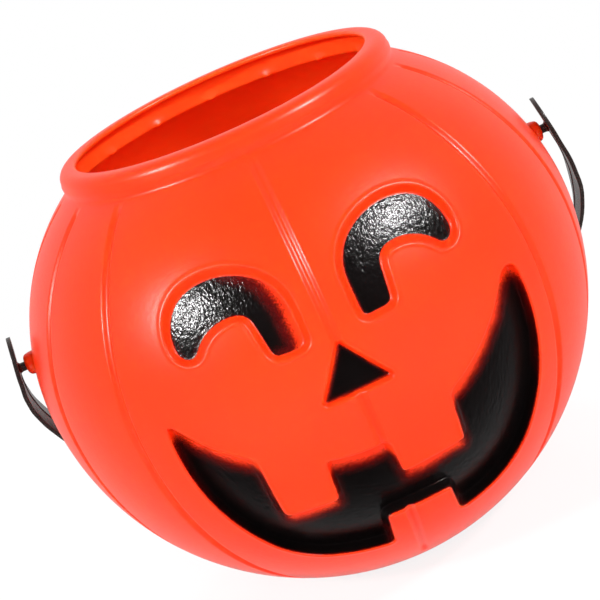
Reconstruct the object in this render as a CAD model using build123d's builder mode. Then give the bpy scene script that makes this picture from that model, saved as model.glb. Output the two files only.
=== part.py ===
from build123d import *
from math import acos, cos, degrees, radians, sin, sqrt
import os

# Pumpkin candy pail: a thin moulded shell with a grinning face sunk into its front,
# black paint on the floor of each sunk area, and a strap handle on two pegs.
# Millimetres, +Z up, origin at the centre of the base, face towards -Y.

# Body of the pail: one round from the base to the belly, another from the belly to the collar.
# The heights of the belly, the face and the pivots are drawn for a rim this far above the belly,
# and move together where the rim is set higher or lower than that
body_radius = 100.0
belly_height = 94.0
belly_to_rim = 78.0
base_radius = 34.1
base_round = 6.0
wall = 2.0

# Collar round the mouth, and the lip that turns in from it
collar_radius = 61.5
collar_height = 8.5
collar_blend = 2.0
rim_height = 172.0
rim_round = 4.0
lip_radius = 54.5

# Grooves from near the collar to near the base, like the folds of a pumpkin, counted round
# from the face; the two that would cross the eyes are left out, and the gaps are in degrees
groove_count = 16
groove_left_out = (1, 15)
groove_radius = 2.0
groove_depth = 0.9
groove_base_gap = 10.0
groove_neck_gap = 4.0

# Eyes: an arched bean, drawn for the right eye and mirrored
eye_inner = 9.8
eye_low = 109.6
eye_leg = 11.0
eye_spring = 122.0
eye_brow = [(14.5, -58.0), (24.0, -52.0), (16.0, -75.0)]
eye_tip = (3.6, -140.0)
eye_under = [(16.5, 60.0), (4.5, 75.0)]
eye_corner = 2.2
eye_depth = 3.5

# Nose: a triangle with softened corners
nose_half = 12.2
nose_low = 89.7
nose_high = 107.3
nose_corner = 0.8
nose_depth = 3.5

# Mouth: a wide grin between a floor line and a round upper edge
grin_low = 26.2
grin_floor = (95.0, 16.0)
grin_cheek = (37.0, 38.5)
grin_side = (79.5, 42.0)
grin_arch_radius = 71.3
grin_arch_height = 140.8
grin_corner = 0.6
grin_depth = 5.0

# Teeth: left and right edge at the tip, height of the tip, and a length that ends past the mouth
upper_teeth = [(-37.0, -19.3), (2.2, 25.8)]
upper_tooth_tip = 56.0
upper_tooth_length = 40.0
lower_tooth = (-7.8, 15.8)
lower_tooth_tip = 41.5
lower_tooth_length = 30.0
tooth_flare = 1.6
tooth_corner = 0.8

# Paint on the floors of the face, lifted by the depth of the floor's grain
paint_thickness = 0.2
paint_margin = 0.3
paint_lift = 0.05

# Pivot bosses on the sides of the shell; the reach is from the body at a boss's proudest edge
pivot_height = 114.0
boss_radius = 3.9
boss_reach = 2.1
boss_round = 1.6
bore_clearance = 0.06

# Strap handle with its pegs, hanging behind the pail
strap_width = 18.0
strap_thickness = 1.6
strap_clearance = 3.2
strap_back_gap = 6.4
strap_tab = 12.5
strap_corner = 8.6
peg_radius = 1.6
peg_flare = 1.2
peg_head_radius = 2.5
peg_head_length = 2.2
peg_head_taper = 25.0
peg_head_play = 0.5
hang_angle = 60.0

os.makedirs("parts", exist_ok=True)


def upright_round(inward, along):
    """Radius of an arc that leaves the belly upright and ends this far in and along."""
    return (inward**2 + along**2) / (2 * inward)


# Levels that follow the rim, and the rounds of the body between them
height_share = rim_height / (belly_height + belly_to_rim)
belly_level = belly_height * height_share
pivot_level = pivot_height * height_share
neck_rise = rim_height - collar_height - belly_level
belly_round = upright_round(body_radius - base_radius, belly_level)
belly_centre = body_radius - belly_round
base_angle = degrees(acos((base_radius - belly_centre) / belly_round))
shoulder_round = upright_round(body_radius - collar_radius, neck_rise)
shoulder_centre = body_radius - shoulder_round
neck_angle = degrees(acos((collar_radius - shoulder_centre) / shoulder_round))


def body_reach(height, inset):
    """Radius of the body at a height, set in by a distance."""
    above = height > belly_level
    centre = shoulder_centre if above else belly_centre
    radius = (shoulder_round if above else belly_round) - inset
    return centre + sqrt(radius**2 - (height - belly_level) ** 2)


# Places of the pivots and of the strap
boss_heights = (pivot_level - boss_radius, pivot_level, pivot_level + boss_radius)
boss_face = max(body_reach(height, 0) for height in boss_heights) + boss_reach
boss_root = min(body_reach(height, 0) for height in boss_heights) - wall / 2
head_heights = (pivot_level - peg_head_radius, pivot_level + peg_head_radius)
peg_head_face = min(body_reach(height, wall) for height in head_heights) - peg_head_play
strap_inner = body_radius + strap_clearance
strap_outer = strap_inner + strap_thickness

# Straight part of the strap's sides: it clears the back of the body, which the strap's plane,
# going down from the pivots at the hang angle, leaves at the back end
pivot_rise = pivot_level - belly_level
back_middle = belly_centre * cos(radians(hang_angle)) + pivot_rise * sin(radians(hang_angle))
back_half_square = back_middle**2 + belly_round**2 - belly_centre**2 - pivot_rise**2
back_end = back_middle + sqrt(back_half_square)
bail_straight = back_end + strap_back_gap - strap_inner


def body_form(inset):
    """The rounded form of the pail without its collar, set in by a distance."""
    with BuildPart() as form:
        with BuildSketch(Plane.XZ):
            top_angle = acos((collar_radius / 2 - shoulder_centre) / (shoulder_round - inset))
            with BuildLine():
                belly = CenterArc(
                    (belly_centre, belly_level), belly_round - inset, -base_angle, base_angle
                )
                shoulder = CenterArc(
                    (shoulder_centre, belly_level), shoulder_round - inset, 0, degrees(top_angle)
                )
                Polyline(shoulder @ 1, (0, (shoulder @ 1).Y), (0, (belly @ 0).Y), belly @ 0)
            make_face()
        revolve(axis=Axis.Z)
    return form.part


def around(place):
    """A short stretch to find edges in."""
    return place - strap_thickness / 2, place + strap_thickness / 2


def chain(start, heading, arcs):
    """Tangent arcs, each a radius and a turn in degrees, one after the other."""
    line = []
    for radius, turn in arcs:
        line.append(JernArc(start, heading, radius, turn))
        start = line[-1] @ 1
        heading = line[-1] % 1
    return line


def tooth(mouth, left, right, tip, root):
    """Leave a tooth standing in the mouth: square at its tip, a little wider at its root."""
    Polygon(
        (left, tip),
        (right, tip),
        (right + tooth_flare, root),
        (left - tooth_flare, root),
        align=None,
        mode=Mode.SUBTRACT,
    )
    for corner in ((left, tip), (right, tip)):
        fillet(mouth.vertices().sort_by_distance(Vector(corner))[0], tooth_corner)


# Outlines of the face, seen from the front, as drawn
with BuildSketch(Plane.XZ) as right_eye:
    with BuildLine():
        inner_side = Line((eye_inner, eye_low), (eye_inner, eye_spring))
        brow = chain(inner_side @ 1, (0, 1), eye_brow + [eye_tip] + eye_under)
        leg_side = Line(brow[-1] @ 1, (eye_inner + eye_leg, eye_low))
        Line(leg_side @ 1, inner_side @ 0)
    make_face()
    fillet(right_eye.vertices().group_by(Axis.Y)[0], eye_corner)

with BuildSketch(Plane.XZ) as nose:
    Polygon((-nose_half, nose_low), (nose_half, nose_low), (0, nose_high), align=None)
    fillet(nose.vertices(), nose_corner)

with BuildSketch(Plane.XZ) as grin:
    with BuildLine():
        cheek = chain((0, grin_low), (1, 0), [grin_floor, grin_cheek, grin_side])
        mirror(about=Plane.YZ)
        Line(cheek[-1] @ 1, (-(cheek[-1] @ 1).X, (cheek[-1] @ 1).Y))
    make_face()
    with Locations((0, grin_arch_height)):
        Circle(grin_arch_radius, mode=Mode.SUBTRACT)
    fillet(grin.vertices().group_by(Axis.Y)[-1], grin_corner)
    for left, right in upper_teeth:
        tooth(grin, left, right, upper_tooth_tip, upper_tooth_tip + upper_tooth_length)
    tooth(grin, *lower_tooth, lower_tooth_tip, lower_tooth_tip - lower_tooth_length)

# Each sunk area of the face: its outline and how deep its floor lies
sunk_areas = [(right_eye, eye_depth), (nose, nose_depth), (grin, grin_depth)]


def sunk_prism(outline, growth, depth):
    """The space in front of a sunk floor, inside an outline grown by a distance."""
    with BuildPart() as prism:
        with BuildSketch(Plane.XZ):
            add(scale(outline.sketch_local, height_share, mode=Mode.PRIVATE))
            if growth:
                offset(amount=growth)
        extrude(amount=body_radius + wall)
        add(body_form(depth), mode=Mode.SUBTRACT)
    return prism.part


# Inside of the pail, kept a wall away from the sunk face
with BuildPart() as cavity:
    add(body_form(wall))
    with BuildSketch(Plane.XY.offset(belly_level)):
        Circle(collar_radius - wall)
    extrude(amount=rim_height - wall - belly_level)
    with BuildSketch(Plane.XY.offset(belly_level)):
        Circle(lip_radius)
    extrude(amount=rim_height - belly_level)
    with BuildSketch(Plane.XY.offset(wall)):
        Rectangle(2 * body_radius, 2 * body_radius)
    extrude(amount=-body_radius, mode=Mode.SUBTRACT)
    with BuildSketch(Plane.XY.offset(rim_height - wall)):
        Circle(body_radius)
        Circle(lip_radius, mode=Mode.SUBTRACT)
    extrude(amount=body_radius, mode=Mode.SUBTRACT)
    for outline, depth in sunk_areas:
        pad = sunk_prism(outline, wall, depth + wall)
        add(pad, mode=Mode.SUBTRACT)
        if outline is right_eye:
            add(mirror(pad, about=Plane.YZ), mode=Mode.SUBTRACT)

# One groove, along the side at +X, with a round end at the top and at the bottom
groove_out = groove_radius - groove_depth
with BuildPart() as groove:
    with BuildLine(Plane.XZ) as groove_path:
        groove_low = base_angle - groove_base_gap
        groove_high = neck_angle - groove_neck_gap
        CenterArc((belly_centre, belly_level), belly_round + groove_out, -groove_low, groove_low)
        CenterArc((shoulder_centre, belly_level), shoulder_round + groove_out, 0, groove_high)
    with BuildSketch(Plane(groove_path.line @ 0, z_dir=groove_path.line % 0)):
        Circle(groove_radius)
    sweep()
    with Locations(groove_path.line @ 0, groove_path.line @ 1):
        Sphere(groove_radius)

# Moulded shell: body, collar with its lip, grooves, pivot bosses and sunk face
with BuildPart() as pail_shell:
    with BuildSketch(Plane.XZ) as outside:
        with BuildLine():
            belly = CenterArc((belly_centre, belly_level), belly_round, -base_angle, base_angle)
            shoulder = CenterArc((shoulder_centre, belly_level), shoulder_round, 0, neck_angle)
            rim_corner = (collar_radius, rim_height)
            Polyline(shoulder @ 1, rim_corner, (0, rim_height), (0, 0), belly @ 0)
        make_face()
        for corner, radius in (
            (belly @ 0, base_round),
            (shoulder @ 1, collar_blend),
            (Vector(rim_corner), rim_round),
        ):
            fillet(outside.vertices().sort_by_distance(corner)[0], radius)
    revolve(axis=Axis.Z)
    for place in range(groove_count):
        if place not in groove_left_out:
            turned = groove.part.rotate(Axis.Z, place * 360 / groove_count - 90)
            add(turned, mode=Mode.SUBTRACT)
    for side in (-1, 1):
        with BuildSketch(Plane((side * boss_face, 0, pivot_level), z_dir=(-side, 0, 0))):
            Circle(boss_radius)
        extrude(amount=boss_face - boss_root)
        boss_edges = pail_shell.edges().filter_by(GeomType.CIRCLE)
        fillet(boss_edges.filter_by_position(Axis.X, *around(side * boss_face)), boss_round)
    for outline, depth in sunk_areas:
        sunk = sunk_prism(outline, 0, depth)
        add(sunk, mode=Mode.SUBTRACT)
        if outline is right_eye:
            add(mirror(sunk, about=Plane.YZ), mode=Mode.SUBTRACT)
    add(cavity.part, mode=Mode.SUBTRACT)
    for side in (-1, 1):
        with BuildSketch(Plane((side * boss_face, 0, pivot_level), z_dir=(-side, 0, 0))):
            Circle(peg_radius + bore_clearance)
        extrude(amount=boss_face / 2, mode=Mode.SUBTRACT)
pail_shell.part.label = "pail_shell"
export_step(pail_shell.part, "parts/pail_shell.step")


def paint(outline, depth):
    """A coat of paint on the floor of a sunk area, a little inside its outline."""
    under = depth - paint_lift
    with BuildPart() as coat:
        add(sunk_prism(outline, -paint_margin, under))
        add(body_form(under - paint_thickness), mode=Mode.INTERSECT)
    return coat.part


with BuildPart() as right_eye_paint:
    add(paint(right_eye, eye_depth))
right_eye_paint.part.label = "right_eye_paint"
export_step(right_eye_paint.part, "parts/right_eye_paint.step")

with BuildPart() as left_eye_paint:
    add(mirror(right_eye_paint.part, about=Plane.YZ))
left_eye_paint.part.label = "left_eye_paint"
export_step(left_eye_paint.part, "parts/left_eye_paint.step")

with BuildPart() as nose_paint:
    add(paint(nose, nose_depth))
nose_paint.part.label = "nose_paint"
export_step(nose_paint.part, "parts/nose_paint.step")

with BuildPart() as mouth_paint:
    add(paint(grin, grin_depth))
mouth_paint.part.label = "mouth_paint"
export_step(mouth_paint.part, "parts/mouth_paint.step")


# Strap handle: a band bent to a U in a plane through the pivots, with a peg at each end.
# Across the band's plane x runs from peg to peg and y runs from the pivots to the bend.
across = (0, sin(radians(hang_angle)), cos(radians(hang_angle)))
bail_plane = Plane((0, 0, pivot_level), x_dir=(1, 0, 0), z_dir=across)
with BuildPart() as carry_handle:
    with BuildSketch(bail_plane):
        with BuildLine():
            outer_bend = CenterArc((0, bail_straight), strap_outer, 0, 180)
            inner_bend = CenterArc((0, bail_straight), strap_inner, 0, 180)
            for bend_end in (0, 1):
                outer_point = outer_bend @ bend_end
                inner_point = inner_bend @ bend_end
                Polyline(
                    outer_point,
                    (outer_point.X, -strap_tab),
                    (inner_point.X, -strap_tab),
                    inner_point,
                )
        make_face()
    extrude(amount=strap_width / 2, both=True)
    fillet(carry_handle.edges().filter_by(Axis.X), strap_corner)
    for side in (-1, 1):
        with BuildSketch(Plane((side * strap_inner, 0, pivot_level), z_dir=(-side, 0, 0))):
            Circle(peg_radius)
        extrude(amount=strap_inner - peg_head_face)
        round_edges = carry_handle.edges().filter_by(GeomType.CIRCLE)
        fillet(round_edges.filter_by_position(Axis.X, *around(side * strap_inner)), peg_flare)
        with BuildSketch(Plane((side * peg_head_face, 0, pivot_level), z_dir=(-side, 0, 0))):
            Circle(peg_head_radius)
        extrude(amount=peg_head_length, taper=peg_head_taper)
carry_handle.part.label = "carry_handle"
export_step(carry_handle.part, "parts/carry_handle.step")
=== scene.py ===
# %% [markdown]
# # A pumpkin candy pail
#
# This lesson dresses a CAD model of a moulded plastic pail: a thin orange shell with a grinning
# face pressed into its front, black paint sprayed on the floors of that face, and a dark strap
# handle on two pegs. The CAD model gives every size and place. Blender adds what moulding, spraying
# and handling add to the real thing: soft lips, sloped walls, grain, and paint that thins out at
# its edge. One unit is a metre, up is +Z and the face looks along -Y.

# %% Load the CAD model
import bmesh
import bpy
import numpy as np
from dataclasses import dataclass
from math import acos, atan2, cos, pi, radians, sin, sqrt
from mathutils import Matrix, Vector


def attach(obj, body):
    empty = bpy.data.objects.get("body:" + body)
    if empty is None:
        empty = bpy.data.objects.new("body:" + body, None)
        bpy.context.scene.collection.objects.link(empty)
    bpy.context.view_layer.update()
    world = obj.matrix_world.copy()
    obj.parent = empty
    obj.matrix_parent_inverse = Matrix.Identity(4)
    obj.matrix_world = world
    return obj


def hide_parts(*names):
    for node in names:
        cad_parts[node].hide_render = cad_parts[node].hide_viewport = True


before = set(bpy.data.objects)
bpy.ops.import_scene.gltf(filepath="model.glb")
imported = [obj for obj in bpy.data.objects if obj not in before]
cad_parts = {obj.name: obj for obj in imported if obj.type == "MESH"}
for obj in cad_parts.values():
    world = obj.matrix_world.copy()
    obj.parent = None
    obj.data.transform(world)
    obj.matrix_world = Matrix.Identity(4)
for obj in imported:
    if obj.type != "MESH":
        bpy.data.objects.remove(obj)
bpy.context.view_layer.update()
MM = 0.001

# %% [markdown]
# ## Small helpers for modelling by hand
#
# Blender's operators work on what is selected, so each step starts by deselecting everything,
# picks faces or vertices by their place, and then calls the operator. These helpers keep that
# short. A profile is drawn as by hand: one vertex is placed and then extruded from point to point.

# %% Selection, drawing and modifiers
WELD = 0.005 * MM
FINE_WELD = 0.002 * MM


def deselect_all():
    """Leave edit mode and select nothing."""
    if bpy.context.object and bpy.context.object.mode != "OBJECT":
        bpy.ops.object.mode_set(mode="OBJECT")
    bpy.ops.object.select_all(action="DESELECT")


def pick(piece):
    """Make one piece the selected and active one."""
    deselect_all()
    piece.select_set(True)
    bpy.context.view_layer.objects.active = piece


def edit(piece, mode):
    """Enter edit mode on a piece with nothing selected; mode is VERT, EDGE or FACE."""
    pick(piece)
    bpy.ops.object.mode_set(mode="EDIT")
    bpy.ops.mesh.select_mode(type=mode)
    bpy.ops.mesh.select_all(action="DESELECT")
    return bmesh.from_edit_mesh(piece.data)


def edit_faces(piece, chosen):
    """Enter edit mode on a piece with the chosen faces selected."""
    bm = edit(piece, "FACE")
    bm.faces.ensure_lookup_table()
    for index in np.nonzero(chosen)[0]:
        bm.faces[index].select_set(True)


def done(piece):
    """Leave edit mode."""
    bpy.ops.object.mode_set(mode="OBJECT")
    return piece


def draw_profile(name, points):
    """A line of vertices through the points: one vertex of a plane, extruded on and on."""
    deselect_all()
    bpy.ops.mesh.primitive_plane_add(size=MM, location=(0, 0, 0))
    piece = bpy.context.object
    piece.name = piece.data.name = name
    bm = edit(piece, "VERT")
    bm.verts.ensure_lookup_table()
    for vert in bm.verts[1:]:
        vert.select = True
    bpy.ops.mesh.delete(type="VERT")
    bm = bmesh.from_edit_mesh(piece.data)
    for vert in bm.verts:
        vert.co = points[0]
        vert.select = True
    bmesh.update_edit_mesh(piece.data)
    for start, end in zip(points, points[1:]):
        step = Vector(end) - Vector(start)
        bpy.ops.mesh.extrude_region_move(TRANSFORM_OT_translate={"value": step})
    return done(piece)


def lathe(piece, axis, centre, steps):
    """Turn a profile right round an axis, and close its seam and poles."""
    edit(piece, "VERT")
    bpy.ops.mesh.select_all(action="SELECT")
    bpy.ops.mesh.spin(steps=steps, angle=2 * pi, center=centre, axis=axis)
    bpy.ops.mesh.select_all(action="SELECT")
    bpy.ops.mesh.remove_doubles(threshold=WELD)
    bpy.ops.mesh.normals_make_consistent(inside=False)
    return done(piece)


def modify(piece, kind, **settings):
    """Add a modifier with its settings and apply it."""
    pick(piece)
    modifier = piece.modifiers.new(kind.title(), kind)
    for key, value in settings.items():
        setattr(modifier, key, value)
    bpy.ops.object.modifier_apply(modifier=modifier.name)


# %% [markdown]
# Many steps reckon with all points of a piece at once, so a few more helpers read them into an
# array, write them back, and give the curves that the shapes are made of.

# %% Points as arrays, arcs and soft steps
def vectors(items, key):
    """A vector of every vertex or face as an array, one row each."""
    flat = np.empty(3 * len(items))
    items.foreach_get(key, flat)
    return flat.reshape(-1, 3)


def places(piece):
    """The vertices of a piece as an array of points."""
    return vectors(piece.data.vertices, "co")


def move_to(piece, points):
    """Put the vertices of a piece at new points."""
    piece.data.vertices.foreach_set("co", points.ravel())
    piece.data.update()


def arc(centre, radius, start, end, count):
    """Points of an arc in the plane of a profile, with angles in degrees."""
    turns = np.radians(np.linspace(start, end, count))
    return [(centre[0] + radius * cos(t), centre[1] + radius * sin(t)) for t in turns]


def ramp(value, start, end):
    """0 below 0, 1 above 1, straight between, with round ends of the given widths."""
    value = np.clip(value, 0, 1)
    rise = 1 / (1 - (start + end) / 2)
    first = value**2 / (2 * start)
    last = (1 - value) ** 2 / (2 * end)
    straight = value - start / 2
    share = np.where(value < start, first, np.where(value > 1 - end, 1 / rise - last, straight))
    return share * rise


def smooth_step(value):
    """0 below 0, 1 above 1, and an S between."""
    share = np.clip(value, 0, 1)
    return share * share * (3 - 2 * share)


# %% [markdown]
# ## The moulded form
#
# The body is round: one arc rises from the flat base to the belly and a second one closes in
# from the belly to the collar. Both leave the belly upright, so their radius follows from how far
# in and how far along they end. Everything later asks this form where the surface is at a height.

# %% Measures of the form
BODY_RADIUS = 100 * MM
BELLY = 94 * MM
BASE_RADIUS = 34.1 * MM
BASE_ROUND = 6 * MM
WALL = 2 * MM
COLLAR_RADIUS = 61.5 * MM
NECK = 163.5 * MM
NECK_BLEND = 2 * MM
RIM = 172 * MM
RIM_ROUND = 4 * MM
LIP_RADIUS = 54.5 * MM
LIP_EDGE = 0.9 * MM
PIVOT = 114 * MM


def upright_round(inward, along):
    """Radius of an arc that leaves the belly upright and ends this far in and along."""
    return (inward**2 + along**2) / (2 * inward)


belly_round = upright_round(BODY_RADIUS - BASE_RADIUS, BELLY)
belly_centre = BODY_RADIUS - belly_round
shoulder_round = upright_round(BODY_RADIUS - COLLAR_RADIUS, NECK - BELLY)
shoulder_centre = BODY_RADIUS - shoulder_round


def reach(height, inset):
    """Radius of the form at heights, set in by a distance along its own normal."""
    rise = height - BELLY
    centre = np.where(rise > 0, shoulder_centre, belly_centre)
    radius = np.where(rise > 0, shoulder_round, belly_round) - inset
    return centre + np.sqrt(np.maximum(radius**2 - rise**2, 0))


def slope(height):
    """Cosine of the angle between the form's normal and the level."""
    rise = height - BELLY
    radius = np.where(rise > 0, shoulder_round, belly_round)
    return np.sqrt(np.maximum(1 - (rise / radius) ** 2, 0.01))


print(f"belly round {belly_round / MM:.1f} mm, shoulder round {shoulder_round / MM:.1f} mm")

# %% [markdown]
# ## The shell's profile
#
# A lathe profile runs from the middle of the underside, out over the base, belly, shoulder and
# collar, over the rim and its turned-in lip, and back down the inside. Turning the whole wall at
# once gives a closed shell with its real thickness, which a single skin with a thickness added
# later would not give at the undercut of the lip.

# %% Draw and turn the shell
SPIN_STEPS = 160
DISH_RADIUS = 22 * MM
DISH_DEPTH = 0.6 * MM


def outside_profile():
    """From the middle of the underside to the top of the rim."""
    foot = belly_centre + sqrt((belly_round - BASE_ROUND) ** 2 - (BELLY - BASE_ROUND) ** 2)
    foot_turn = np.degrees(atan2(BASE_ROUND - BELLY, foot - belly_centre))
    blend_out = COLLAR_RADIUS + NECK_BLEND
    blend_up = BELLY + sqrt(
        (shoulder_round + NECK_BLEND) ** 2 - (blend_out - shoulder_centre) ** 2
    )
    neck_turn = np.degrees(atan2(blend_up - BELLY, blend_out - shoulder_centre))
    dish = [(0, DISH_DEPTH), (DISH_RADIUS * 0.5, DISH_DEPTH), (DISH_RADIUS, DISH_DEPTH)]
    ring = [(DISH_RADIUS + MM, DISH_DEPTH * 0.5), (DISH_RADIUS + 2 * MM, 0), (foot - 3 * MM, 0)]
    return (
        dish
        + ring
        + arc((foot, BASE_ROUND), BASE_ROUND, -90, foot_turn, 5)
        + arc((belly_centre, BELLY), belly_round, foot_turn, 0, 38)[1:]
        + arc((shoulder_centre, BELLY), shoulder_round, 0, neck_turn, 32)[1:]
        + arc((blend_out, blend_up), NECK_BLEND, neck_turn + 180, 180, 6)[1:]
        + [(COLLAR_RADIUS + 0.25 * MM, blend_up + 1.2 * MM)]
        + [(COLLAR_RADIUS + 0.3 * MM, blend_up + 2.4 * MM)]
        + arc((COLLAR_RADIUS - RIM_ROUND, RIM - RIM_ROUND), RIM_ROUND, 0, 90, 9)
    )


def inside_profile():
    """From the lip's edge, under the lip and down the inside to the floor."""
    collar_in = COLLAR_RADIUS - WALL
    lip = LIP_RADIUS + LIP_EDGE
    inner_shoulder = shoulder_round - WALL
    inner_belly = belly_round - WALL
    top_turn = np.degrees(acos((collar_in - shoulder_centre) / inner_shoulder))
    foot = belly_centre + sqrt((inner_belly - BASE_ROUND) ** 2 - (BELLY - WALL - BASE_ROUND) ** 2)
    foot_turn = np.degrees(atan2(WALL + BASE_ROUND - BELLY, foot - belly_centre))
    under = RIM - WALL
    return (
        arc((lip, RIM - LIP_EDGE), LIP_EDGE, 90, 180, 4)
        + arc((lip, under + LIP_EDGE), LIP_EDGE, 180, 270, 4)
        + arc((collar_in - MM, under - MM), MM, 90, 0, 4)
        + [(collar_in, under - step * MM) for step in (4, 5, 6, 7)]
        + arc((shoulder_centre, BELLY), inner_shoulder, top_turn, top_turn - 4, 6)
        + arc((shoulder_centre, BELLY), inner_shoulder, top_turn - 4, 0, 24)[1:]
        + arc((belly_centre, BELLY), inner_belly, 0, foot_turn, 28)[1:]
        + arc((foot, WALL + BASE_ROUND), BASE_ROUND, foot_turn, -90, 4)[1:]
        + [(foot * 0.6, WALL), (0, WALL)]
    )


profile = [Vector((r, 0, z)) for r, z in outside_profile() + inside_profile()]
shell = draw_profile("pail_shell_moulded", profile)
lathe(shell, (0, 0, 1), (0, 0, 0), SPIN_STEPS)
print("shell turned:", len(shell.data.polygons), "faces from", len(profile), "profile points")

# %% [markdown]
# ## Pumpkin folds
#
# Sixteen shallow folds run down the pail like the ribs of a pumpkin; the two that would cross the
# eyes are missing. A fold is only about 3 mm wide, far less than a face of the turned shell, so
# the two strips beside each fold line are first subdivided across. The folds themselves are a
# function of the distance from the fold line. Inside, only the top end of each fold shows, as a
# small bead under the collar.

# %% Fold measures and the fold function
FOLD_COUNT = 16
FOLDS_LEFT_OUT = (1, 15)
FOLD_HALF_WIDTH = 2.0 * MM
FOLD_DEPTH = 1.1 * MM
FOLD_LOW = 11 * MM
FOLD_HIGH = 162 * MM
FOLD_FADE = 2.5 * MM
FOLD_STRIPS = 7
BOSS_CLEAR = 5.0 * MM
BOSS_FADE = 2 * MM
BODY_LOW = 4 * MM
BODY_HIGH = NECK - 1.5 * MM
WALL_SPLIT = 1.5 * MM
WALL_REACH = 1.9 * MM
fold_turns = [
    2 * pi * k / FOLD_COUNT - pi / 2 for k in range(FOLD_COUNT) if k not in FOLDS_LEFT_OUT
]


def turn_from(points, turn):
    """Angle of points round the axis, counted from a direction, between -pi and pi."""
    angle = np.arctan2(points[:, 1], points[:, 0]) - turn
    return (angle + pi) % (2 * pi) - pi


def fold_depth(points):
    """How deep the folds are at points on the form."""
    height = points[:, 2]
    radius = np.hypot(points[:, 0], points[:, 1])
    depth = np.zeros(len(points))
    for turn in fold_turns:
        away = radius * np.abs(turn_from(points, turn))
        share = np.clip(1 - away / FOLD_HALF_WIDTH, 0, 1)
        depth = np.maximum(depth, FOLD_DEPTH * share**1.5 * (2.5 - 1.5 * share))
    low_end = smooth_step((height - FOLD_LOW) / FOLD_FADE)
    high_end = smooth_step((FOLD_HIGH - height) / FOLD_FADE)
    to_pivot = np.hypot(points[:, 1], height - PIVOT)
    return depth * (low_end * high_end) * smooth_step((to_pivot - BOSS_CLEAR) / BOSS_FADE)


def wall_side(points):
    """+1 on the outer wall of the body, -1 on its inner wall, 0 on base, floor and collar."""
    radius = np.hypot(points[:, 0], points[:, 1])
    height = points[:, 2]
    inset = (reach(height, 0) - radius) * slope(height)
    body = (np.abs(inset - WALL_SPLIT) < WALL_REACH) & (height > BODY_LOW) & (height < BODY_HIGH)
    return np.where(body, np.where(inset < WALL_SPLIT, 1, -1), 0)


print("folds planned:", len(fold_turns))

# %% [markdown]
# Only the level edges beside a fold line are picked and cut, so the rest of the shell keeps its
# wide faces.

# %% Subdivide beside the fold lines
bm = edit(shell, "EDGE")
level = 0.01 * MM
for edge in bm.edges:
    a, b = edge.verts[0].co, edge.verts[1].co
    if abs(a.z - b.z) > level or a.z < BODY_LOW or a.z > NECK - MM or edge.calc_length() < level:
        continue
    middle = np.array([(a + b) / 2])
    gap = min(abs(turn_from(middle, turn)[0]) for turn in fold_turns)
    edge.select = gap < 1.01 * pi / SPIN_STEPS
bpy.ops.mesh.subdivide(number_cuts=FOLD_STRIPS, ngon=False)
done(shell)
print("cut beside the folds:", len(shell.data.polygons), "faces")

# %% [markdown]
# The new points lie on straight edges. They are put back on the round form, with the folds in its
# outer side, and the inner side gets its beads.

# %% Press the folds and raise the beads
BEAD_HEIGHT = 162.6 * MM
BEAD_RADIUS = 2.3 * MM
BEAD_DEPTH = 1.6 * MM


def on_form(points, side):
    """Points of the body put back on the form, with the folds in it; heights stay."""
    turn = np.arctan2(points[:, 1], points[:, 0])
    height = points[:, 2]
    form = reach(height, np.where(side > 0, 0, WALL))
    flat = np.column_stack((form * np.cos(turn), form * np.sin(turn), height))
    radius = form - np.where(side > 0, fold_depth(flat), 0) / slope(height)
    moved = np.column_stack((radius * np.cos(turn), radius * np.sin(turn), height))
    return np.where((side != 0)[:, None], moved, points)


def with_beads(points):
    """Points with a small bead inside at the top end of each fold."""
    radius = np.hypot(points[:, 0], points[:, 1])
    bead = np.zeros(len(points))
    for turn in fold_turns:
        away = np.hypot(radius * turn_from(points, turn), points[:, 2] - BEAD_HEIGHT)
        bead = np.maximum(bead, np.clip(1 - (away / BEAD_RADIUS) ** 2, 0, 1) ** 2)
    inside = radius < COLLAR_RADIUS - 0.8 * WALL + 4 * np.maximum(NECK - points[:, 2], 0)
    inside &= (wall_side(points) < 0) | (points[:, 2] > BODY_HIGH)
    share = 1 - np.where(inside, BEAD_DEPTH * bead, 0) / np.maximum(radius, MM)
    return points * np.column_stack((share, share, np.ones(len(points))))


spots = places(shell)
side = wall_side(spots)
move_to(shell, with_beads(on_form(spots, side)))
print("folds pressed, with", len(fold_turns), "beads inside")

# %% [markdown]
# ## Pivot bosses
#
# A small round boss stands out at each side for the handle's pegs, with a bore through the wall.
# Bosses and bores are turned pieces; a union and a difference with them is the same as what a
# mould does with its core pins, and it leaves a real hole for the peg.

# %% Turn the bosses and cut their bores
BOSS_RADIUS = 3.9 * MM
BOSS_FACE = 100.5 * MM
BOSS_ROUND = 1.7 * MM
BOSS_ROOT = 95.9 * MM
BORE_RADIUS = 1.66 * MM
BORE_FROM = 88 * MM
BORE_TO = 103 * MM
BOSS_STEPS = 40


def turned_about_x(name, points, height, steps):
    """A profile of (x, radius) points turned about the line of the pegs."""
    piece = draw_profile(name, [Vector((x, 0, height + r)) for x, r in points])
    return lathe(piece, (1, 0, 0), (0, 0, height), steps)


def combine(piece, other, operation):
    """Join or cut one piece with another, which is used up."""
    modify(piece, "BOOLEAN", object=other, operation=operation, solver="EXACT")
    bpy.data.objects.remove(other)


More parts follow.
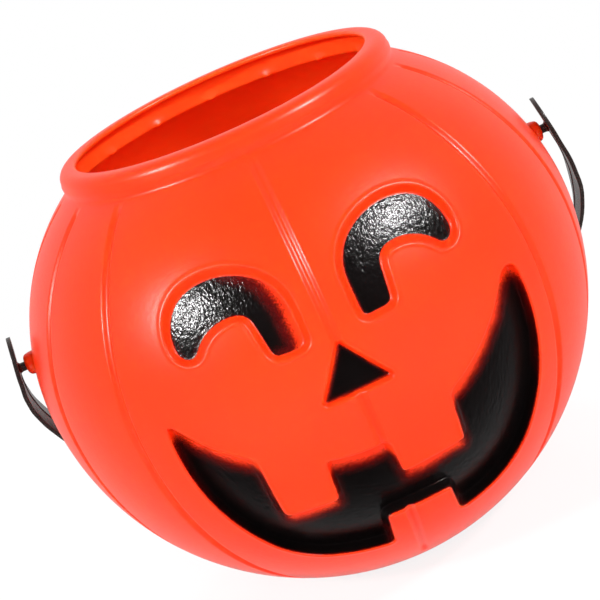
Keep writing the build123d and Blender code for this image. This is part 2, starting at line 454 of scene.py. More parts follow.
for side_sign in (-1, 1):
    crown = arc((BOSS_FACE - BOSS_ROUND, BOSS_RADIUS - BOSS_ROUND), BOSS_ROUND, 90, 0, 7)
    skirt = [(BOSS_ROOT, 0), (BOSS_ROOT, BOSS_RADIUS + 0.3 * MM)]
    waist = [(BOSS_FACE - 2.4 * MM, BOSS_RADIUS + 0.15 * MM)]
    boss_points = skirt + waist + crown + [(BOSS_FACE, 0)]
    bore_points = [(BORE_FROM, 0), (BORE_FROM, BORE_RADIUS), (BORE_TO, BORE_RADIUS), (BORE_TO, 0)]
    for name, points, operation in (
        ("boss", boss_points, "UNION"),
        ("bore", bore_points, "DIFFERENCE"),
    ):
        mirrored = [(side_sign * x, r) for x, r in points]
        combine(shell, turned_about_x(name, mirrored, PIVOT, BOSS_STEPS), operation)
print("bosses added:", len(shell.data.polygons), "faces")

# %% [markdown]
# ## The outlines of the face
#
# The CAD model already holds the outline of each sunk area, as the edge of its coat of paint. Its
# side walls run straight along Y, so the edges between a wall and the front give the outline. With
# the outline as a ring of points, the signed distance to it (negative inside) says for any point of
# the shell how far it is from the edge. On the real pail the lip, the floor and the spray don't
# quite share that outline: the walls lean, more at the top than below, and the spray mask sat a
# little off. So each of the three is the outline moved and grown by a millimetre or two.

# %% The sunk areas
@dataclass
class Sunk:
    """A sunk area, in mm; each edge is (move x, move z, growth, growth per x)."""

    depth: float
    corner: float
    roll: float
    lip: tuple
    floor: tuple
    spray: tuple
    fade: float
    mask: tuple
    mask_fade: float
    covers_at: float = -0.95


SUNK = {
    "left_eye_paint": Sunk(
        depth=3.2, corner=1.0, roll=0.3, lip=(1.2, 0.9, 2.6, 0), floor=(1.15, -0.6, -0.2, 0),
        spray=(-2.4, -0.6, 1.0, -0.2), fade=8.0, mask=(1.15, -0.6, 0.0, 0), mask_fade=0.5,
        covers_at=-0.7,
    ),
    "right_eye_paint": Sunk(
        depth=3.2, corner=1.0, roll=0.3, lip=(0.25, 0.8, 2.4, 0), floor=(0.3, -0.3, -0.4, 0),
        spray=(1.8, -0.2, 1.6, 0), fade=1.4, mask=(0.3, -0.3, -0.25, 0), mask_fade=0.5,
    ),
    "nose_paint": Sunk(
        depth=3.2, corner=0.5, roll=0.12, lip=(0, 0.4, 1.3, 0), floor=(0, -0.2, -0.5, 0),
        spray=(0.3, -0.4, 0.6, 0), fade=2.0, mask=(0, -0.2, 0.1, 0), mask_fade=1.0,
    ),
    "mouth_paint": Sunk(
        depth=5.0, corner=1.2, roll=0.15, lip=(0, 0, 1.3, 0.02), floor=(0, 0, -1.3, 0.02),
        spray=(0, -6.2, 3.9, 0.02), fade=6.5, mask=(0, 0, 0.9, 0.02), mask_fade=0.6,
    ),
}
print("sunk areas:", len(SUNK))

# %% [markdown]
# The edges of a coat that join a side wall to the front are followed from one to the next into a
# ring. Averaging each point with its neighbours rounds the corners as a mould's cutter does.

# %% Read the outlines
RING_STEP = 0.6 * MM


def outline_of(node):
    """The front edge of a coat of paint as a ring of (x, z) points, counterclockwise."""
    bm = bmesh.new()
    bm.from_mesh(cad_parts[node].data)
    bmesh.ops.remove_doubles(bm, verts=bm.verts, dist=FINE_WELD)
    follow = {}
    for edge in bm.edges:
        if len(edge.link_faces) == 2:
            low, high = sorted(face.normal.y for face in edge.link_faces)
            if low < -0.3 and abs(high) < 0.1:
                a, b = edge.verts
                follow.setdefault(a, []).append(b)
                follow.setdefault(b, []).append(a)
    start = next(iter(follow))
    ring, last, here = [start], start, follow[start][0]
    while here is not start:
        ring.append(here)
        ahead = [vert for vert in follow[here] if vert is not last]
        last, here = here, ahead[0]
    points = np.array([(vert.co.x, vert.co.z) for vert in ring])
    bm.free()
    x, z = points[:, 0], points[:, 1]
    turned = np.sum(x * np.roll(z, -1) - z * np.roll(x, -1))
    return points if turned > 0 else points[::-1]


def softened(ring, reach_along):
    """A ring with even steps and rounded corners: each point is averaged with its neighbours."""
    closed = np.vstack((ring, ring[:1]))
    along = np.concatenate(((0,), np.cumsum(np.hypot(*np.diff(closed, axis=0).T))))
    places_along = np.linspace(0, along[-1], int(along[-1] / RING_STEP), endpoint=False)
    even = np.column_stack([np.interp(places_along, along, closed[:, k]) for k in (0, 1)])
    count = int(3 * reach_along / RING_STEP)
    weights = np.exp(-0.5 * (np.arange(-count, count + 1) * RING_STEP / reach_along) ** 2)
    turns = range(-count, count + 1)
    return sum(w * np.roll(even, t, axis=0) for w, t in zip(weights / weights.sum(), turns))


outlines = {node: softened(outline_of(node), area.corner * MM) for node, area in SUNK.items()}
for node, ring in outlines.items():
    print(node, len(ring), "outline points")

# %% [markdown]
# A point's distance from a ring is that from the nearest of its sides. A level line from the point
# crosses the ring an odd number of times if the point is inside.

# %% Measure distances to the outlines
BLOCK = 4000
FAR = 30 * MM
FRONT = -20 * MM
OUTLINE_MARGIN = 12 * MM


def edge_distance(points, ring):
    """Signed distance of (x, z) points from a ring, negative inside."""
    start, step = ring, np.roll(ring, -1, axis=0) - ring
    square = np.maximum(np.sum(step**2, axis=1), 1e-18)
    result = np.empty(len(points))
    for first in range(0, len(points), BLOCK):
        block = points[first : first + BLOCK, None, :]
        offset = block - start
        along = np.clip(np.sum(offset * step, axis=2) / square, 0, 1)
        gap = np.sqrt(np.min(np.sum((offset - along[..., None] * step) ** 2, axis=2), axis=1))
        up = start[:, 1] > block[..., 1]
        up_next = start[:, 1] + step[:, 1] > block[..., 1]
        rise = np.where(step[:, 1] == 0, 1e-12, step[:, 1])
        crossing = start[:, 0] + step[:, 0] * (block[..., 1] - start[:, 1]) / rise
        inside = np.sum((up != up_next) & (block[..., 0] < crossing), axis=1) % 2
        result[first : first + BLOCK] = np.where(inside, -gap, gap)
    return result


def face_distance(points, node, change):
    """Signed distance from a moved and grown outline, or a large one well away from it."""
    ring = outlines[node]
    move_x, move_z, growth, growth_per_x = change
    low, high = ring.min(axis=0) - OUTLINE_MARGIN, ring.max(axis=0) + OUTLINE_MARGIN
    flat = points[:, [0, 2]]
    near = np.all((flat > low) & (flat < high), axis=1) & (points[:, 1] < FRONT)
    distance = np.full(len(points), FAR)
    moved = flat[near] - np.array((move_x, move_z)) * MM
    distance[near] = edge_distance(moved, ring) - growth * MM - growth_per_x * flat[near, 0]
    return distance


def paint_edge(points, node):
    """-1 and less where the paint is full, 0 and more where there is none."""
    area = SUNK[node]
    spray = face_distance(points, node, area.spray) / (area.fade * MM)
    mask = face_distance(points, node, area.mask) / (area.mask_fade * MM)
    return np.maximum(spray, mask)


def front_side(points):
    """The side of the wall at the front, where the face is, and 0 elsewhere."""
    return np.where(points[:, 1] < FRONT, wall_side(points), 0)


nose = outlines["nose_paint"]
in_nose = edge_distance(nose.mean(axis=0)[None], nose)[0]
print(f"distance at the middle of the nose: {in_nose / MM:.1f} mm")

# %% [markdown]
# ## Points enough for the face
#
# A lip a millimetre wide needs faces of half a millimetre, but only along the outlines. So faces
# near an outline are picked and subdivided, three times over, each time in a narrower band. Every
# new vertex is then put back on the round form.

# %% Subdivide along the outlines
BANDS = [(9.0 * MM, 9.0 * MM), (5.0 * MM, 6.4 * MM), (3.4 * MM, 4.6 * MM)]
CAD_EDGE = (0, 0, 0, 0)


def nearest_edge(points):
    """Smallest signed distance from any sunk area."""
    return np.min([face_distance(points, node, CAD_EDGE) for node in SUNK], axis=0)


for inside_band, outside_band in BANDS:
    middles = vectors(shell.data.polygons, "center")
    near = nearest_edge(middles)
    outer = wall_side(middles) > 0
    edit_faces(shell, outer & (near > -inside_band) & (near < outside_band))
    bpy.ops.mesh.subdivide(number_cuts=1, ngon=False)
    done(shell)
    spots = places(shell)
    move_to(shell, on_form(spots, front_side(spots)))
print("ready for the face:", len(shell.data.polygons), "faces")

# %% [markdown]
# ## Pressing the face
#
# A mould opens along one line, here Y, so the face is pressed in along Y: a point keeps its place
# seen from the front and moves back by the depth of the floor times a share that rises from the
# lip's outline to the floor's. A straight rise with round ends gives a sloped wall with a narrow lip
# that catches the light, and a tight foot. A low roll of plastic runs along the lip. The inner wall
# is pressed the same way, a wall's thickness wider, so the sunk areas stand out inside.

# %% Press the sunk areas
ROLL_HALF_WIDTH = 1.1 * MM
LIP_ROUND = 0.3
FOOT_ROUND = 0.2
LEAST_WALL = 0.1 * MM


def pressed(points, side):
    """Points of the front moved back into the sunk areas."""
    result = points.copy()
    height = points[:, 2]
    base = np.where(side > 0, 0, WALL)
    for node, area in SUNK.items():
        past_lip = base - face_distance(points, node, area.lip)
        to_floor = face_distance(points, node, area.floor) - base
        wall = np.maximum(past_lip + to_floor, LEAST_WALL)
        share = ramp(past_lip / wall, LIP_ROUND, FOOT_ROUND)
        share = np.where(past_lip > 0, np.where(to_floor < 0, 1, share), 0)
        roll = np.clip(1 - (past_lip / ROLL_HALF_WIDTH) ** 2, 0, 1) ** 2
        roll *= np.where(side > 0, area.roll * MM, 0)
        moved = ((share > 0) | (roll > 0)) & (side != 0)
        inset = base + area.depth * MM
        floor = np.sqrt(np.maximum(reach(height, inset) ** 2 - points[:, 0] ** 2, 0))
        own = points[:, 1] * (1 - share) - floor * share - roll
        result[moved, 1] = own[moved]
    return result


spots = places(shell)
move_to(shell, pressed(spots, front_side(spots)))
edit(shell, "FACE")
bpy.ops.mesh.select_all(action="SELECT")
bpy.ops.mesh.remove_doubles(threshold=FINE_WELD)
bpy.ops.mesh.faces_shade_smooth()
done(shell)
triangles = sum(len(polygon.vertices) - 2 for polygon in shell.data.polygons)
print("face pressed:", triangles, "triangles in the shell")

# %% [markdown]
# ## Coats of paint
#
# The paint lies on the floors, and in the mouth it creeps up the walls. The faces of the shell that
# the spray reached are copied, lifted off by a few hundredths of a millimetre and given a thickness.
# How far each point is from the edge of the spray is stored on the coat, for its material to use.

# %% Lift the coats off the shell
COAT_LIFT = 0.03 * MM
COAT_THICKNESS = 0.08 * MM
PAINT_REACH = 0.1
STEEPEST = 0.2


def lift_coat(node):
    """A thin solid coat over the floor of one sunk area."""
    middles = vectors(shell.data.polygons, "center")
    deepest = SUNK[node].depth * MM + WALL / 2
    front = np.hypot(middles[:, 0], middles[:, 1]) > reach(middles[:, 2], deepest)
    forwards = vectors(shell.data.polygons, "normal")[:, 1] < STEEPEST
    edit_faces(shell, (paint_edge(middles, node) < PAINT_REACH) & front & forwards)
    bpy.ops.mesh.duplicate()
    bpy.ops.mesh.separate(type="SELECTED")
    done(shell)
    coat = next(piece for piece in bpy.context.selected_objects if piece is not shell)
    coat.name = coat.data.name = node.replace("_paint", "_paint_coat")
    edit(coat, "FACE")
    bpy.ops.mesh.select_all(action="SELECT")
    bpy.ops.transform.shrink_fatten(value=COAT_LIFT)
    done(coat)
    modify(coat, "SOLIDIFY", thickness=COAT_THICKNESS, offset=1)
    edge = coat.data.attributes.new("paint_edge", "FLOAT", "POINT")
    edge.data.foreach_set("value", paint_edge(places(coat), node).astype(np.float32))
    print(coat.name, len(coat.data.polygons), "faces")
    return coat


coats = {node: lift_coat(node) for node in SUNK}

# %% [markdown]
# ## The strap handle
#
# The handle is a flat moulded strap bent to a U, with a round tab and a peg at each end. It is
# modelled lying flat, with the pegs on X and the bend towards +Y: a plane makes one straight side,
# a half spin the bend, and an extrusion the other side. Thickness, a thin rib along the inner face
# and rounded edges follow, and last it is turned down to hang behind the pail.

# %% Bend the strap
STRAP_WIDTH = 18 * MM
STRAP_THICKNESS = 1.6 * MM
STRAP_INNER = 103.2 * MM
STRAP_TAB = 12.5 * MM
STRAP_STRAIGHT = 20.0 * MM
TAB_ROUND = 8.6 * MM
BEND_STEPS = 96
HANG = 60
RIB_HALF = 0.55 * MM
RIB_HEIGHT = 0.35 * MM
RIB_PLACE = 1.2 * MM
RIB_START = 3 * MM
STRAP_EDGE = 0.45 * MM
ARM_CUTS_FROM = -3
ARM_CUTS_EVERY = 2.5

strap_middle = STRAP_INNER + STRAP_THICKNESS / 2
deselect_all()
bpy.ops.mesh.primitive_plane_add(size=1, location=(0, 0, 0))
strap = bpy.context.object
strap.name = strap.data.name = "strap_handle"
bm = edit(strap, "VERT")
for vert in bm.verts:
    along = STRAP_STRAIGHT if vert.co.x > 0 else -STRAP_TAB
    vert.co = (strap_middle, along, STRAP_WIDTH * vert.co.y)
    vert.select = along > 0
bmesh.update_edit_mesh(strap.data)
bm.select_flush(True)
bpy.ops.mesh.spin(steps=BEND_STEPS, angle=-pi, center=(0, STRAP_STRAIGHT, 0), axis=(0, 0, 1))
far_end = (0, -STRAP_STRAIGHT - STRAP_TAB, 0)
bpy.ops.mesh.extrude_region_move(TRANSFORM_OT_translate={"value": far_end})
bpy.ops.mesh.select_all(action="DESELECT")
bm = bmesh.from_edit_mesh(strap.data)
for vert in bm.verts:
    vert.select = vert.co.y < -STRAP_TAB + level
bpy.ops.mesh.bevel(offset=TAB_ROUND, affect="VERTICES", segments=12, offset_type="OFFSET")
for cut in (RIB_PLACE - RIB_HALF, RIB_PLACE + RIB_HALF):
    bpy.ops.mesh.select_all(action="SELECT")
    bpy.ops.mesh.bisect(plane_co=(0, 0, cut), plane_no=(0, 0, 1))
for cut in np.arange(ARM_CUTS_FROM, STRAP_STRAIGHT / MM, ARM_CUTS_EVERY):
    bpy.ops.mesh.select_all(action="SELECT")
    bpy.ops.mesh.bisect(plane_co=(0, cut * MM, 0), plane_no=(0, 1, 0))
bpy.ops.mesh.select_all(action="SELECT")
bpy.ops.mesh.remove_doubles(threshold=level)
bpy.ops.mesh.normals_make_consistent(inside=False)
done(strap)
low, high = places(strap).min(axis=0), places(strap).max(axis=0)
print("strap spans", np.round((high - low) / MM, 1), "mm lying flat")

# %% [markdown]
# A modifier gives the flat strap its thickness. The narrow strip between the two lengthwise cuts is
# pulled out on the inner face as a rib, and a bevel rounds every sharp edge.

# %% Give it thickness, a rib and round edges
modify(strap, "SOLIDIFY", thickness=STRAP_THICKNESS, offset=0)
bm = edit(strap, "FACE")
for face in bm.faces:
    middle = face.calc_center_median()
    bow = Vector((middle.x, max(middle.y - STRAP_STRAIGHT, 0), 0))
    inner = bow.length < strap_middle - STRAP_THICKNESS / 4
    in_rib = abs(middle.z - RIB_PLACE) < RIB_HALF
    if inner and in_rib and middle.y > RIB_START and abs(face.normal.z) < 0.5:
        face.select_set(True)
bpy.ops.mesh.extrude_region_shrink_fatten(TRANSFORM_OT_shrink_fatten={"value": RIB_HEIGHT})
done(strap)
rounding = {"width": STRAP_EDGE, "segments": 3, "limit_method": "ANGLE"}
modify(strap, "BEVEL", angle_limit=radians(40), **rounding)
print("strap solid:", len(strap.data.polygons), "faces")

# %% [markdown]
# ## Pegs
#
# Each peg flares into the strap, runs through the boss, and ends in a snap head inside the shell
# that keeps it from pulling out. Both are turned and joined to the strap with a union.

# %% Turn the pegs and join them
PEG_RADIUS = 1.6 * MM
PEG_HEAD = 2.5 * MM
PEG_HEAD_FACE = 94.4 * MM
PEG_HEAD_LENGTH = 2.2 * MM
PEG_FLARE = 1.2 * MM
PEG_STEPS = 36
for side_sign in (-1, 1):
    flare = arc((STRAP_INNER - PEG_FLARE, PEG_RADIUS + PEG_FLARE), PEG_FLARE, -90, 0, 6)
    tip = PEG_HEAD_FACE - PEG_HEAD_LENGTH
    root = STRAP_INNER + 0.8 * MM
    peg_points = (
        [(tip, 0), (tip, 1.2 * MM), (tip + 0.4 * MM, 1.6 * MM)]
        + [(PEG_HEAD_FACE - 0.3 * MM, PEG_HEAD), (PEG_HEAD_FACE, PEG_HEAD - 0.2 * MM)]
        + [(PEG_HEAD_FACE, PEG_RADIUS)]
        + flare
        + [(root, PEG_RADIUS + PEG_FLARE), (root, 0)]
    )
    turned = turned_about_x("peg", [(side_sign * x, r) for x, r in peg_points], 0, PEG_STEPS)
    combine(strap, turned, "UNION")
print("strap with pegs:", len(strap.data.polygons), "faces")

# %% [markdown]
# ## The hang of the strap
#
# A soft strap that is sprung between two pegs doesn't hang as a true bow: its arms lean outwards
# below the pegs, the right one the most, and twist. A smooth curve through a few knots gives how
# far, along each arm. The pegs and the part of the strap round them stay where they are.

# %% Lean and twist the arms, and hang the strap
ALONG = {-1: (-13, 0, 10, 20, 32, 45, 70, 124), 1: (-13, 0, 20, 35, 52, 66, 90, 124)}
OUT = {-1: (-2.4, 0, 1.6, 1.7, 0.4, -0.8, -0.8, 0), 1: (-3.1, 0, 4.1, 5.7, 7.0, 7.9, 5, 0)}
TWIST = {
    -1: (-0.02, -0.02, 0.02, 0.1, 0.18, 0.2, 0.1, 0),
    1: (0, 0.02, 0.08, 0.16, 0.42, 0.6, 0.38, 0),
}
PEG_END = 101.5 * MM
PEG_BLEND = 1.5 * MM
TAB_END = 12


def curve_through(value, along, heights):
    """A smooth curve through knots, with the slope at each knot taken from its neighbours."""
    along, heights = np.array(along, float), np.array(heights, float)
    slopes = np.gradient(heights, along)
    k = np.clip(np.searchsorted(along, value) - 1, 0, len(along) - 2)
    width = along[k + 1] - along[k]
    share = np.clip((value - along[k]) / width, 0, 1)
    start = heights[k] + slopes[k] * width * share
    end = heights[k + 1] - slopes[k + 1] * width * (1 - share)
    return start + (end - start) * share * share * (3 - 2 * share)


def leaned(points):
    """Points of the strap with its arms bowed out and twisted; the pegs stay."""
    result = points.copy()
    along = points[:, 1] / MM
    past_peg = smooth_step((np.abs(points[:, 0]) - PEG_END) / PEG_BLEND)
    on_strap = np.where(along > TAB_END, 1, past_peg)
    for side_sign in (-1, 1):
        out = curve_through(along, ALONG[side_sign], OUT[side_sign]) * MM
        twist = curve_through(along, ALONG[side_sign], TWIST[side_sign]) * points[:, 2]
        arm = points[:, 0] * side_sign > 0
        result[arm, 0] += side_sign * ((out + twist) * on_strap)[arm]
    return result


move_to(strap, leaned(places(strap)))
strap.rotation_euler = (-radians(HANG), 0, 0)
strap.location = (0, 0, PIVOT)
pick(strap)
bpy.ops.object.transform_apply(location=True, rotation=True, scale=True)
bpy.ops.object.shade_smooth_by_angle(angle=radians(35))
low, high = places(strap).min(axis=0), places(strap).max(axis=0)
print("handle hangs from", np.round(low / MM, 1), "to", np.round(high / MM, 1), "mm")

# %% [markdown]
# ## Writing shaders as sums
#
# A material is a net of nodes, which is slow to read and write. Here a small class stands for a
# socket: adding or multiplying two of them adds the Math node that does it. One more method makes
# any other node from its kind, its settings and its inputs.

# %% Sockets that can be added and multiplied, and materials made of them
class Wire:
    """An output socket that takes part in sums."""

    def __init__(self, finish, socket):
        self.finish = finish
        self.socket = socket

    def math(self, operation, *values):
        inputs = dict(enumerate(values))
        return self.finish.node("ShaderNodeMath", {"operation": operation}, inputs)

    def __add__(self, other):
        return self.math("ADD", self, other)

    __radd__ = __add__

    def __mul__(self, other):
        return self.math("MULTIPLY", self, other)

    __rmul__ = __mul__

    def __sub__(self, other):
        return self.math("SUBTRACT", self, other)

    def __rsub__(self, other):
        return self.math("SUBTRACT", other, self)

    def over(self, low, high):
        """An S from 0 at low to 1 at high."""
        settings = {"interpolation_type": "SMOOTHSTEP"}
        inputs = {"Value": self, "From Min": low, "From Max": high}
        return self.finish.node("ShaderNodeMapRange", settings, inputs)


class Finish:
    """A material with its nodes."""

    def __init__(self, name):
        self.material = bpy.data.materials.new(name)
        self.material.use_nodes = True
        self.tree = self.material.node_tree
        self.shader = self.tree.nodes["Principled BSDF"]
        self.place = self.node("ShaderNodeTexCoord", output="Object")

    def put(self, socket, value):
        if isinstance(value, Wire):
            self.tree.links.new(value.socket, socket)
        else:
            socket.default_value = value

    def node(self, kind, settings=None, inputs=None, output=0):
        made = self.tree.nodes.new(kind)
        for key, value in (settings or {}).items():
            setattr(made, key, value)
        for key, value in (inputs or {}).items():
            self.put(made.inputs[key], value)
        return Wire(self, made.outputs[output])

    def noise(self, scale, detail=2.0, roughness=0.5, place=None):
        inputs = {"Vector": place or self.place, "Scale": scale}
        inputs.update({"Detail": detail, "Roughness": roughness})
        return self.node("ShaderNodeTexNoise", None, inputs)

    def stretched(self, scale):
        """Object coordinates stretched along an axis."""
        return self.node("ShaderNodeMapping", None, {"Vector": self.place, "Scale": scale})

    def blend(self, share, first, second):
        """A mix of two colours."""
        inputs = {"Factor": share, 6: first, 7: second}
        return self.node("ShaderNodeMix", {"data_type": "RGBA"}, inputs, output=2)

    def bump(self, height, depth):
        inputs = {"Height": height, "Strength": 1.0, "Distance": depth}
        return self.node("ShaderNodeBump", None, inputs, output="Normal")

    def surface(self, **inputs):
        for key, value in inputs.items():
            self.put(self.shader.inputs[key.replace("_", " ")], value)
        return self.material


def paint(piece, material):
    """Give a piece one material."""
    piece.data.materials.clear()
    piece.data.materials.append(material)
    print(piece.name, "finished with", material.name)


# %% [markdown]
# ## Orange plastic
#
# The shell is soft, slightly waxy plastic: a strong red-orange with hardly any pattern, a satin
# sheen and a very fine grain that shows only in the highlights. The colour wanders a little, the
# roughness follows two scales of noise, and a shallow bump breaks up the sheen. The thin wall lets
# light through, so the inside looks a clearer orange; that light is painted: faces that look
# inwards get a lighter orange, and how far a point faces inwards is stored as their mask.

# %% Finish of the shell
ORANGE = (0.94, 0.039, 0.003, 1)
DEEP_ORANGE = (0.91, 0.033, 0.003, 1)
# Painted light: a lighter orange for the inside, standing in for light that comes through the thin
# wall.
PAINTED_THROUGH_LIGHT_ORANGE = (0.98, 0.075, 0.008, 1)
INWARDS_FROM = 0.2
INWARDS_OVER = 0.4


# The mask of the painted light inside: how far each point faces inwards.
def mark_painted_inner_light(piece):
    """Store how far each point of the shell faces the axis."""
    facing = vectors(piece.data.vertices, "normal")
    spots = places(piece)
    radius = np.maximum(np.hypot(spots[:, 0], spots[:, 1]), MM)
    inwards = -(facing[:, 0] * spots[:, 0] + facing[:, 1] * spots[:, 1]) / radius
    mark = piece.data.attributes.new("inside", "FLOAT", "POINT")
    share = smooth_step((inwards - INWARDS_FROM) / INWARDS_OVER)
    mark.data.foreach_set("value", share.astype(np.float32))
    print("points that face inwards:", int((share > 0.5).sum()))


def shell_finish():
    finish = Finish("shell_plastic")
    cloud = finish.noise(22, 3)
    speck = finish.noise(900, 2)
    grain = finish.noise(1200, 3, 0.6)
    orange_peel = finish.noise(260, 2)
    # Painted light: the stored inwards mask blends the lighter orange over the inside.
    inside = finish.node("ShaderNodeAttribute", {"attribute_name": "inside"}, None, "Fac")
    colour = finish.blend(cloud.over(0.3, 0.7), ORANGE, DEEP_ORANGE)
    return finish.surface(
        Base_Color=finish.blend(inside, colour, PAINTED_THROUGH_LIGHT_ORANGE),
        Roughness=0.24 + 0.08 * speck + 0.06 * cloud,
        Normal=finish.bump(grain * 0.5 + orange_peel * 0.5, 0.08 * MM),
        IOR=1.45,
        Subsurface_Weight=0.6,
        Subsurface_Radius=(1.0, 0.2, 0.08),
        Subsurface_Scale=7 * MM,
    )


mark_painted_inner_light(shell)
paint(shell, shell_finish())

# %% [markdown]
# ## Sprayed black
#
# The paint is glossy black over a coarse, pebbled floor, so it glitters where a lamp is mirrored.
# Towards the edge the spray gets thin and breaks into specks, and the orange shows through as a
# dark red. The distance stored on the coat, shifted by noise, sets how much paint there is.

# %% Finish of the coats
BLACK = (0.003, 0.002, 0.002, 1)
THIN_RED = (0.085, 0.002, 0.002, 1)


def coat_finish(name, covers_at):
    finish = Finish(name)
    edge = finish.node("ShaderNodeAttribute", {"attribute_name": "paint_edge"}, None, "Fac")
    pebble_place = finish.stretched((1, 1, 0.55))
    pebbles = finish.noise(1080, 2, 0.55, pebble_place)
    pits = finish.noise(600, 1, 0.5, pebble_place)
    spatter = finish.noise(2000, 2, 0.7)
    drift = finish.noise(90, 2)
    thin = edge + 0.8 * (spatter - 0.5) + 0.4 * (drift - 0.5)
    return finish.surface(
        Base_Color=finish.blend(thin.over(-1.05, -0.3), BLACK, THIN_RED),
        Roughness=0.12 + 0.14 * pits,
        Alpha=1 - thin.over(covers_at, -0.05),
        Normal=finish.bump(pebbles * 0.75 + pits * 0.25, 0.26 * MM),
        IOR=1.45,
    )


for node, coat in coats.items():
    paint(coat, coat_finish(node.replace("paint", "spray"), SUNK[node].covers_at))

# %% [markdown]
# ## Strap plastic
#
# The strap is a nearly black, slightly brown plastic, glossier than the shell, with the faint
# lengthwise flow marks and small scuffs of a moulded strap.

# %% Finish of the strap
STRAP_DARK = (0.019, 0.013, 0.012, 1)
STRAP_PALE = (0.029, 0.02, 0.017, 1)


def strap_finish():
    finish = Finish("strap_plastic")
    flow = finish.noise(160, 3, 0.5, finish.stretched((1, 1, 0.3)))
    scuff = finish.noise(700, 3, 0.65)
    return finish.surface(
        Base_Color=finish.blend(flow.over(0.25, 0.8), STRAP_DARK, STRAP_PALE),
        Roughness=0.2 + 0.05 * flow + 0.08 * scuff,
        Normal=finish.bump(flow * 0.6 + scuff * 0.4, 0.05 * MM),
        IOR=1.7,
    )


paint(strap, strap_finish())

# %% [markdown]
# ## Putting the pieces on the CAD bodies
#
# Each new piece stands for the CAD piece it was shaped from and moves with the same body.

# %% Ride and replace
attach(shell, "pail")
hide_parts("pail_shell")
for node, coat in coats.items():
    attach(coat, "pail")
    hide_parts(node)
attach(strap, "handle")
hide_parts("carry_handle")
print("pieces placed:", 2 + len(coats))

# %% [markdown]
# ## A plain white studio
#
# The pail stands on a white floor. Near the pail the floor keeps its shadow. Further out it fades
# into the white of the sky, so that no horizon shows.

# %% The floor
FLOOR_SIZE = 8
FLOOR_DROP = 0.5 * MM
NEAR_GLOW = 0.85
FADE_FROM = 0.16
FADE_TO = 0.5


def plain_floor():
    deselect_all()
    bpy.ops.mesh.primitive_plane_add(size=FLOOR_SIZE, location=(0, 0, -FLOOR_DROP))
    floor = bpy.context.object
    floor.name = "studio_floor"
    finish = Finish("studio_white")
    finish.surface(Base_Color=(0.9, 0.9, 0.9, 1), Roughness=0.9)
    glow = finish.node("ShaderNodeEmission", None, {"Color": (1, 1, 1, 1), "Strength": 1.0})
    seen = finish.node("ShaderNodeLightPath", output="Is Camera Ray")
    away = finish.node("ShaderNodeVectorMath", {"operation": "LENGTH"}, {0: finish.place}, "Value")
    share = NEAR_GLOW + (1 - NEAR_GLOW) * away.over(FADE_FROM, FADE_TO)
    mixed = finish.node("ShaderNodeMixShader", None, {0: seen * share, 2: glow})
    finish.tree.links.new(finish.shader.outputs[0], mixed.socket.node.inputs[1])
    output = finish.tree.nodes["Material Output"]
    finish.put(output.inputs["Surface"], mixed)
    floor.data.materials.append(finish.material)
    floor.visible_glossy = False
    print("floor of", FLOOR_SIZE, "m")


plain_floor()

# %% [markdown]
# ## Sky and lamps
#
# Seen by the camera the sky is plain white. As a light it is weaker, and in reflections it is white
# behind the pail and dark in front of it, as in a studio with a white backdrop, so the outline glows
# a little and black stays black. Two small softboxes stand left and right, where the glints on the
# eyes of the photo ask for them, and a wide fill beside the camera lights the face and the inside.
# A second fill behind lights the back, and a little of it shines through the thin wall.

# %% Sky and lamps
FACE_MIDDLE = (0, 0, 0.12)


def white_sky(light, mirrored_front, mirrored_back):
    sky = bpy.data.worlds.new("white_sky")
    sky.use_nodes = True
    bpy.context.scene.world = sky
    tree = sky.node_tree
    path = tree.nodes.new("ShaderNodeLightPath")
    direction = tree.nodes.new("ShaderNodeTexCoord")
    split = tree.nodes.new("ShaderNodeSeparateXYZ")
    mirrored = tree.nodes.new("ShaderNodeMapRange")
    tree.links.new(direction.outputs["Generated"], split.inputs[0])
    tree.links.new(split.outputs["Y"], mirrored.inputs["Value"])
    bounds = {"From Min": -0.3, "From Max": 0.6}
    bounds.update({"To Min": mirrored_front, "To Max": mirrored_back})
    for key, value in bounds.items():
        mirrored.inputs[key].default_value = value
    in_mirror = tree.nodes.new("ShaderNodeMix")
    in_mirror.inputs[2].default_value = light
    tree.links.new(path.outputs["Is Glossy Ray"], in_mirror.inputs["Factor"])
    tree.links.new(mirrored.outputs[0], in_mirror.inputs[3])
    seen = tree.nodes.new("ShaderNodeMix")
    seen.inputs[3].default_value = 1.0
    tree.links.new(path.outputs["Is Camera Ray"], seen.inputs["Factor"])
    tree.links.new(in_mirror.outputs[0], seen.inputs[2])
    tree.nodes["Background"].inputs["Color"].default_value = (1, 1, 1, 1)
    tree.links.new(seen.outputs[0], tree.nodes["Background"].inputs["Strength"])


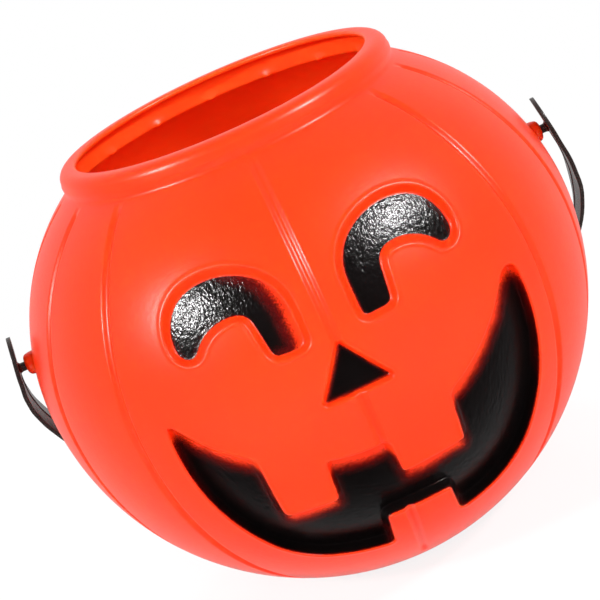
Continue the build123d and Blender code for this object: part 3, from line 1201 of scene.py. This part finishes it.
def soft_lamp(name, glint, direction, distance, size, power, in_mirror=True):
    lamp = bpy.data.lights.new(name, "AREA")
    lamp.shape = "DISK"
    lamp.size = size
    lamp.energy = power
    holder = bpy.data.objects.new(name, lamp)
    bpy.context.scene.collection.objects.link(holder)
    holder.location = Vector(glint) + Vector(direction).normalized() * distance
    holder.rotation_euler = (holder.location - Vector(glint)).to_track_quat("Z", "Y").to_euler()
    holder.visible_glossy = in_mirror
    print(name, "of", power, "W")


white_sky(light=0.4, mirrored_front=0.02, mirrored_back=0.6)
softbox = {"distance": 1.2, "size": 0.15, "power": 11}
soft_lamp("left_softbox", (-0.039, -0.079, 0.131), (-0.731, -0.426, 0.533), **softbox)
soft_lamp("right_softbox", (0.033, -0.081, 0.132), (0.67, -0.483, 0.563), **softbox)
fill = {"distance": 1.6, "in_mirror": False}
soft_lamp("front_fill", FACE_MIDDLE, (0, -0.93, 0.37), size=0.6, power=13, **fill)
soft_lamp("back_fill", FACE_MIDDLE, (0, 0.8, 0.6), size=0.8, power=15, **fill)

# %% [markdown]
# ## The camera
#
# The photo looks down on the pail by about 17 degrees from in front, and the picture itself is
# turned by 24 degrees, so the camera is rolled and the pail stays upright on its floor.

# %% Camera at the photo's place
LOOK_DOWN = radians(17.391)
LOOK_ASIDE = radians(-1.5)
ROLL = radians(24.229)
DISTANCE = 0.65
LENS = 108.72
SENSOR = 36
AIM_ASIDE = -0.0026
AIM_HEIGHT = 0.0936


def place_camera():
    flat = cos(LOOK_DOWN)
    back = Vector((sin(LOOK_ASIDE) * flat, -cos(LOOK_ASIDE) * flat, sin(LOOK_DOWN)))
    right = Vector((cos(LOOK_ASIDE), sin(LOOK_ASIDE), 0))
    up = right.cross(-back)
    camera = bpy.data.objects.new("photo_camera", bpy.data.cameras.new("photo_camera"))
    bpy.context.scene.collection.objects.link(camera)
    camera.data.lens = LENS
    camera.data.sensor_width = SENSOR
    across = right * cos(ROLL) - up * sin(ROLL)
    upward = right * sin(ROLL) + up * cos(ROLL)
    turn = Matrix((across, upward, back)).transposed().to_4x4()
    spot = right * AIM_ASIDE + Vector((0, 0, AIM_HEIGHT)) + back * DISTANCE
    camera.matrix_world = Matrix.Translation(spot) @ turn
    bpy.context.scene.camera = camera
    print("camera", DISTANCE, "m from the pail, lens", LENS, "mm")


place_camera()
bpy.context.scene.view_settings.view_transform = "Standard"
